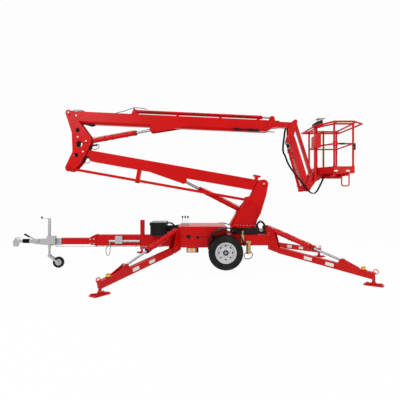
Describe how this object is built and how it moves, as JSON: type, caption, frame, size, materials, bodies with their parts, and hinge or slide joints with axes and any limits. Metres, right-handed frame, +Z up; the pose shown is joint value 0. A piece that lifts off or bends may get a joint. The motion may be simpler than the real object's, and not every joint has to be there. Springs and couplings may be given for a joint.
{
  "type": "towable articulating boom lift",
  "caption": "Towable articulating boom lift with telescoping upper boom, jib, work basket and swing-out stabilising legs.",
  "frame": {"origin": "on the floor under the middle of the machine's length and width, legs down", "axes": "+X from the coupling towards the basket, +Y to the machine's far side, +Z up"},
  "size_m": [7.161, 4.3424, 3.3915],
  "materials": {
    "red_paint": "gloss enamel",
    "dark_red_paint": "satin enamel",
    "black_paint": "satin black",
    "zinc": "galvanised",
    "steel": "ground and plated",
    "white_paint": "silver white rim enamel",
    "tyre_rubber": "moulded",
    "black_rubber": "moulded",
    "black_plastic": "grained"
  },
  "bodies": {
    "chassis": {"drawbar": "red_paint", "chassis_frame": "red_paint", "deck_cover": "red_paint", "axle": "black_paint", "fenders": "black_plastic", "outrigger_brackets": "red_paint", "slew_ring": "black_paint", "coupling": "zinc", "jockey_clamp": "zinc", "prop_stand": "zinc", "battery_case": "black_plastic", "pump_unit": "black_paint", "valve_levers": "zinc", "road_lamps": "black_plastic", "hydraulic_filter": "zinc", "brake_rod": "zinc"},
    "wheel_near": {"tyre_near": "tyre_rubber", "rim_near": "white_paint"},
    "wheel_far": {"tyre_far": "tyre_rubber", "rim_far": "white_paint"},
    "jockey_slide": {"jockey_tube": "zinc"},
    "jockey_swivel": {"jockey_fork": "zinc"},
    "jockey_roller": {"jockey_wheel": "black_rubber"},
    "turntable": {"tower": "red_paint"},
    "lower_boom_body": {"lower_boom": "red_paint"},
    "lower_link_body": {"lower_link": "red_paint"},
    "knuckle_body": {"knuckle": "red_paint"},
    "lower_barrel_body": {"lower_lift_barrel": "red_paint"},
    "lower_rod_body": {"lower_lift_rod": "steel"},
    "upper_boom_body": {"upper_boom": "red_paint", "telescope_barrel": "red_paint"},
    "upper_barrel_body": {"upper_lift_barrel": "red_paint"},
    "upper_rod_body": {"upper_lift_rod": "steel"},
    "inner_boom_body": {"inner_boom": "red_paint", "telescope_rod": "steel"},
    "elbow_body": {"elbow": "red_paint"},
    "jib_body": {"jib": "red_paint"},
    "jib_link_body": {"jib_link": "red_paint"},
    "jib_barrel_body": {"jib_barrel": "red_paint"},
    "jib_rod_body": {"jib_rod": "steel"},
    "basket": {"basket_carrier": "dark_red_paint", "basket_floor": "red_paint", "basket_frame": "red_paint", "control_box": "red_paint", "platform_console": "black_plastic"},
    "gate": {"basket_gate": "red_paint"},
    "leg_front_near": {"outrigger_arm_front_near": "red_paint"},
    "leg_barrel_front_near": {"outrigger_barrel_front_near": "red_paint"},
    "leg_rod_front_near": {"outrigger_rod_front_near": "steel"},
    "leg_front_far": {"outrigger_arm_front_far": "red_paint"},
    "leg_barrel_front_far": {"outrigger_barrel_front_far": "red_paint"},
    "leg_rod_front_far": {"outrigger_rod_front_far": "steel"},
    "leg_rear_near": {"outrigger_arm_rear_near": "red_paint"},
    "leg_barrel_rear_near": {"outrigger_barrel_rear_near": "red_paint"},
    "leg_rod_rear_near": {"outrigger_rod_rear_near": "steel"},
    "leg_rear_far": {"outrigger_arm_rear_far": "red_paint"},
    "leg_barrel_rear_far": {"outrigger_barrel_rear_far": "red_paint"},
    "leg_rod_rear_far": {"outrigger_rod_rear_far": "steel"}
  },
  "joints": [
    {"name": "slew", "type": "hinge", "parent": "chassis", "child": "turntable", "pos_m": [1.275, 0, 0.88], "axis": [0, 0, 1], "range_deg": [0, 355]},
    {"name": "lower_boom_lift", "type": "hinge", "parent": "turntable", "child": "lower_boom_body", "pos_m": [1.676, 0, 1.782], "axis": [0, 1, 0], "range_deg": [-14, 60]},
    {"name": "knuckle_level", "type": "hinge", "parent": "lower_boom_body", "child": "knuckle_body", "pos_m": [-2.08023, 0, 2.44906], "axis": [0, 1, 0], "range_deg": [-61, 15]},
    {"name": "lower_link_swing", "type": "hinge", "parent": "turntable", "child": "lower_link_body", "pos_m": [1.376, 0, 1.437], "axis": [0, 1, 0], "range_deg": [-15, 61]},
    {"name": "lower_barrel_swing", "type": "hinge", "parent": "turntable", "child": "lower_barrel_body", "pos_m": [1.275, 0, 1.196], "axis": [0, 1, 0], "range_deg": [-13.3, 53.5]},
    {"name": "lower_rod_slide", "type": "slide", "parent": "lower_barrel_body", "child": "lower_rod_body", "axis": [-0.8902, 0, 0.4556], "range_m": [-0.168, 0.684]},
    {"name": "upper_boom_lift", "type": "hinge", "parent": "knuckle_body", "child": "upper_boom_body", "pos_m": [-2.38323, 0, 3.26506], "axis": [0, -1, 0], "range_deg": [0, 65]},
    {"name": "upper_barrel_swing", "type": "hinge", "parent": "knuckle_body", "child": "upper_barrel_body", "pos_m": [-2.01623, 0, 2.67106], "axis": [0, -1, 0], "range_deg": [-1, 62.1]},
    {"name": "upper_rod_slide", "type": "slide", "parent": "upper_barrel_body", "child": "upper_rod_body", "axis": [0.9833, 0, 0.1821], "range_m": [-0.01, 0.751]},
    {"name": "telescope", "type": "slide", "parent": "upper_boom_body", "child": "inner_boom_body", "axis": [0.9989, 0, -0.0462], "range_m": [0, 2.2]},
    {"name": "elbow_level", "type": "hinge", "parent": "inner_boom_body", "child": "elbow_body", "pos_m": [2.2425, 0, 3.0009], "axis": [0, -1, 0], "range_deg": [-66, 1]},
    {"name": "jib_lift", "type": "hinge", "parent": "elbow_body", "child": "jib_body", "pos_m": [2.254, 0, 2.796], "axis": [0, -1, 0], "range_deg": [0, 90]},
    {"name": "jib_link_swing", "type": "hinge", "parent": "elbow_body", "child": "jib_link_body", "pos_m": [2.342, 0, 3.086], "axis": [0, -1, 0], "range_deg": [-1, 91]},
    {"name": "basket_level", "type": "hinge", "parent": "jib_body", "child": "basket", "pos_m": [2.597, 0, 1.688], "axis": [0, -1, 0], "range_deg": [-91, 1]},
    {"name": "jib_barrel_swing", "type": "hinge", "parent": "jib_body", "child": "jib_barrel_body", "pos_m": [2.457, 0, 1.648], "axis": [0, -1, 0], "range_deg": [-3, 3]},
    {"name": "jib_rod_slide", "type": "slide", "parent": "jib_barrel_body", "child": "jib_rod_body", "axis": [-0.2634, 0, 0.9647], "range_m": [-0.01, 0.241]},
    {"name": "gate_swing", "type": "hinge", "parent": "basket", "child": "gate", "pos_m": [3.01, -0.455, 2.568], "axis": [0, 0, 1], "range_deg": [0, 80]},
    {"name": "wheel_spin_near", "type": "hinge", "parent": "chassis", "child": "wheel_near", "pos_m": [0.847, -0.617, 0.436], "axis": [0, 1, 0], "continuous": true},
    {"name": "wheel_spin_far", "type": "hinge", "parent": "chassis", "child": "wheel_far", "pos_m": [0.847, 0.617, 0.436], "axis": [0, 1, 0], "continuous": true},
    {"name": "jockey_lift", "type": "slide", "parent": "chassis", "child": "jockey_slide", "axis": [0, 0, 1], "range_m": [0, 0.13]},
    {"name": "jockey_turn", "type": "hinge", "parent": "jockey_slide", "child": "jockey_swivel", "pos_m": [-2.787, -0.095, 0.3], "axis": [0, 0, 1], "continuous": true},
    {"name": "jockey_roll", "type": "hinge", "parent": "jockey_swivel", "child": "jockey_roller", "pos_m": [-2.597, -0.095, 0.152], "axis": [0, 1, 0], "continuous": true},
    {"name": "leg_raise_front_near", "type": "hinge", "parent": "chassis", "child": "leg_front_near", "pos_m": [-0.191, -0.6, 0.465], "axis": [-0.8111, 0.585, 0], "range_deg": [0, 70]},
    {"name": "leg_barrel_swing_front_near", "type": "hinge", "parent": "chassis", "child": "leg_barrel_front_near", "pos_m": [-0.12665, -0.51078, 0.845], "axis": [-0.8111, 0.585, 0], "range_deg": [-1, 70.6]},
    {"name": "leg_rod_slide_front_near", "type": "slide", "parent": "leg_barrel_front_near", "child": "leg_rod_front_near", "axis": [-0.5505, -0.7633, -0.3382], "range_m": [-0.464, 0.01]},
    {"name": "leg_raise_front_far", "type": "hinge", "parent": "chassis", "child": "leg_front_far", "pos_m": [-0.191, 0.6, 0.465], "axis": [0.8111, 0.585, 0], "range_deg": [0, 70]},
    {"name": "leg_barrel_swing_front_far", "type": "hinge", "parent": "chassis", "child": "leg_barrel_front_far", "pos_m": [-0.12665, 0.51078, 0.845], "axis": [0.8111, 0.585, 0], "range_deg": [-1, 70.6]},
    {"name": "leg_rod_slide_front_far", "type": "slide", "parent": "leg_barrel_front_far", "child": "leg_rod_front_far", "axis": [-0.5505, 0.7633, -0.3382], "range_m": [-0.464, 0.01]},
    {"name": "leg_raise_rear_near", "type": "hinge", "parent": "chassis", "child": "leg_rear_near", "pos_m": [1.892, -0.45, 0.465], "axis": [-0.5563, -0.831, 0], "range_deg": [0, 70]},
    {"name": "leg_barrel_swing_rear_near", "type": "hinge", "parent": "chassis", "child": "leg_barrel_rear_near", "pos_m": [1.80059, -0.38881, 0.845], "axis": [-0.5563, -0.831, 0], "range_deg": [-1, 70.6]},
    {"name": "leg_rod_slide_rear_near", "type": "slide", "parent": "leg_barrel_rear_near", "child": "leg_rod_rear_near", "axis": [0.782, -0.5235, -0.3382], "range_m": [-0.464, 0.01]},
    {"name": "leg_raise_rear_far", "type": "hinge", "parent": "chassis", "child": "leg_rear_far", "pos_m": [1.892, 0.45, 0.465], "axis": [0.5563, -0.831, 0], "range_deg": [0, 70]},
    {"name": "leg_barrel_swing_rear_far", "type": "hinge", "parent": "chassis", "child": "leg_barrel_rear_far", "pos_m": [1.80059, 0.38881, 0.845], "axis": [0.5563, -0.831, 0], "range_deg": [-1, 70.6]},
    {"name": "leg_rod_slide_rear_far", "type": "slide", "parent": "leg_barrel_rear_far", "child": "leg_rod_rear_far", "axis": [0.782, 0.5235, -0.3382], "range_m": [-0.464, 0.01]}
  ],
  "couplings": [
    {"joint": "knuckle_level", "follows": "lower_boom_lift", "ratio": -1},
    {"joint": "lower_link_swing", "follows": "lower_boom_lift", "ratio": 1},
    {"joint": "lower_barrel_swing", "follows": "lower_boom_lift", "ratio": 0.87431},
    {"joint": "lower_rod_slide", "follows": "lower_boom_lift", "m_per_rad": 0.6427},
    {"joint": "upper_barrel_swing", "follows": "upper_boom_lift", "ratio": 0.93954},
    {"joint": "upper_rod_slide", "follows": "upper_boom_lift", "m_per_rad": 0.65305},
    {"joint": "elbow_level", "follows": "upper_boom_lift", "ratio": -1},
    {"joint": "jib_link_swing", "follows": "jib_lift", "ratio": 1},
    {"joint": "basket_level", "follows": "jib_lift", "ratio": -1},
    {"joint": "jib_barrel_swing", "follows": "jib_lift", "ratio": 0.00896},
    {"joint": "jib_rod_slide", "follows": "jib_lift", "m_per_rad": 0.14704},
    {"joint": "leg_barrel_swing_front_near", "follows": "leg_raise_front_near", "ratio": 0.99383},
    {"joint": "leg_rod_slide_front_near", "follows": "leg_raise_front_near", "m_per_rad": -0.37138},
    {"joint": "leg_barrel_swing_front_far", "follows": "leg_raise_front_far", "ratio": 0.99383},
    {"joint": "leg_rod_slide_front_far", "follows": "leg_raise_front_far", "m_per_rad": -0.37138},
    {"joint": "leg_barrel_swing_rear_near", "follows": "leg_raise_rear_near", "ratio": 0.99383},
    {"joint": "leg_rod_slide_rear_near", "follows": "leg_raise_rear_near", "m_per_rad": -0.37138},
    {"joint": "leg_barrel_swing_rear_far", "follows": "leg_raise_rear_far", "ratio": 0.99383},
    {"joint": "leg_rod_slide_rear_far", "follows": "leg_raise_rear_far", "m_per_rad": -0.37138}
  ]
}
